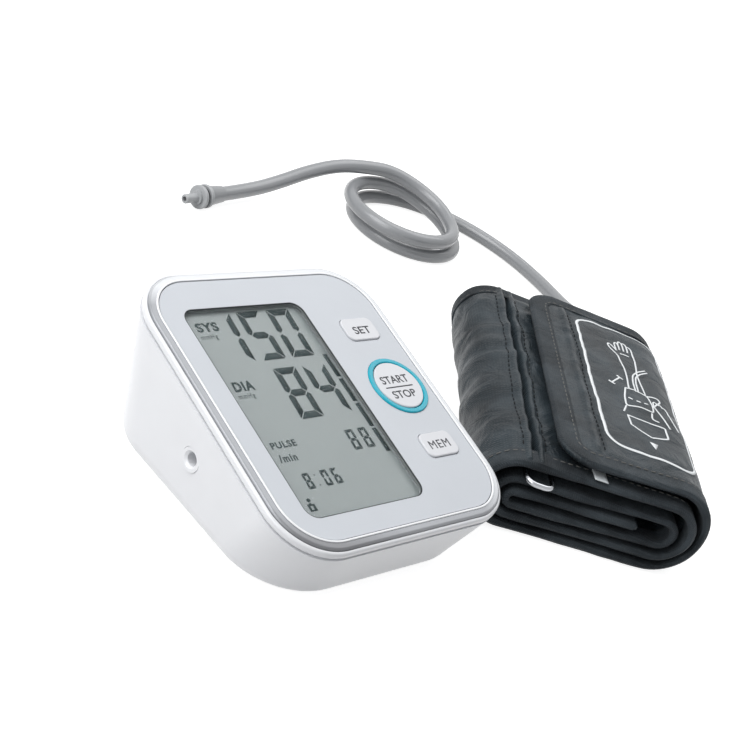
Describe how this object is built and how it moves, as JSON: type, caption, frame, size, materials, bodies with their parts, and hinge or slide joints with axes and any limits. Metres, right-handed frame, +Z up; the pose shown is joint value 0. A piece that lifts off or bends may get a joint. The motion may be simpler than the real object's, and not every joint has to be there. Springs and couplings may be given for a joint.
{
  "type": "arm-in blood pressure monitor",
  "caption": "Desk blood pressure monitor: a tilted console with a large display and push buttons, and a folded cloth arm cuff on a looped air tube that ends in a plug.",
  "frame": {"origin": "centre of the console's footprint, on the table", "axes": "+X to the console's right, towards the buttons; +Y to its back, where the panel is high; +Z up"},
  "size_m": [0.3334, 0.2993, 0.0569],
  "materials": {
    "panel_blue_grey": "satin",
    "case_white": "gloss",
    "trim_silver": "satin metallised",
    "key_grey": "satin",
    "ring_teal": "satin, tinted translucent",
    "lens_clear": "clear",
    "display_grey": "satin",
    "rubber_black": "matt",
    "rubber_grey": "matt",
    "inner_plastic": "matt",
    "board_green": "satin",
    "chip_black": "satin",
    "steel": "bright",
    "cell_shell": "satin",
    "motor_steel": "brushed",
    "cuff_fabric": "woven nylon",
    "hook_fabric": "hook and loop",
    "bladder_film": "matt",
    "ring_chrome": "polished",
    "tube_grey": "satin",
    "plug_grey": "satin"
  },
  "bodies": {
    "console": {"faceplate": "panel_blue_grey", "trim_band": "trim_silver", "display_lens": "lens_clear", "display_gasket": "rubber_black", "display_glass": "display_grey", "display_holder": "inner_plastic", "contact_strips": "rubber_grey", "circuit_board": "board_green", "board_screws": "steel", "controller_chip": "chip_black", "capacitors": "motor_steel", "beeper": "chip_black", "key_mat": "rubber_grey", "start_ring": "ring_teal", "upper_case": "case_white", "lower_case": "case_white", "rubber_feet": "rubber_grey", "case_screws": "steel", "batteries": "cell_shell", "battery_contacts": "steel", "battery_springs": "steel", "pump_motor": "motor_steel", "motor_sleeve": "rubber_grey", "pump_head": "inner_plastic", "air_block": "inner_plastic", "release_valve": "motor_steel", "inner_hoses": "rubber_grey", "pressure_sensor": "chip_black", "air_socket": "inner_plastic"},
    "set_button": {"set_button": "key_grey"},
    "start_stop_button": {"start_stop_button": "key_grey"},
    "memory_button": {"memory_button": "key_grey"},
    "battery_door": {"battery_door": "case_white"},
    "cuff": {"cuff_band": "cuff_fabric", "cuff_bladder": "bladder_film", "tube_spout": "cuff_fabric", "hook_pad": "hook_fabric", "air_tube": "tube_grey", "plug_collar": "plug_grey", "tube_plug": "plug_grey"},
    "cuff_ring": {"cuff_ring": "ring_chrome"}
  },
  "joints": [
    {"name": "set_button_press", "type": "slide", "parent": "console", "child": "set_button", "axis": [0, 0.2334, -0.9724], "range_m": [0, 0.0008], "stiffness_N_per_m": 900},
    {"name": "start_stop_button_press", "type": "slide", "parent": "console", "child": "start_stop_button", "axis": [0, 0.2334, -0.9724], "range_m": [0, 0.0008], "stiffness_N_per_m": 900},
    {"name": "memory_button_press", "type": "slide", "parent": "console", "child": "memory_button", "axis": [0, 0.2334, -0.9724], "range_m": [0, 0.0008], "stiffness_N_per_m": 900},
    {"name": "battery_door_slide", "type": "slide", "parent": "console", "child": "battery_door", "axis": [0, 1, 0], "range_m": [0, 0.06]},
    {"name": "cuff_lift", "type": "slide", "parent": "console", "child": "cuff", "axis": [0, 0, 1], "range_m": [0, 0.1]},
    {"name": "cuff_ring_shift", "type": "slide", "parent": "cuff", "child": "cuff_ring", "axis": [0.6691, 0.7431, 0], "range_m": [-0.003, 0.003]}
  ]
}
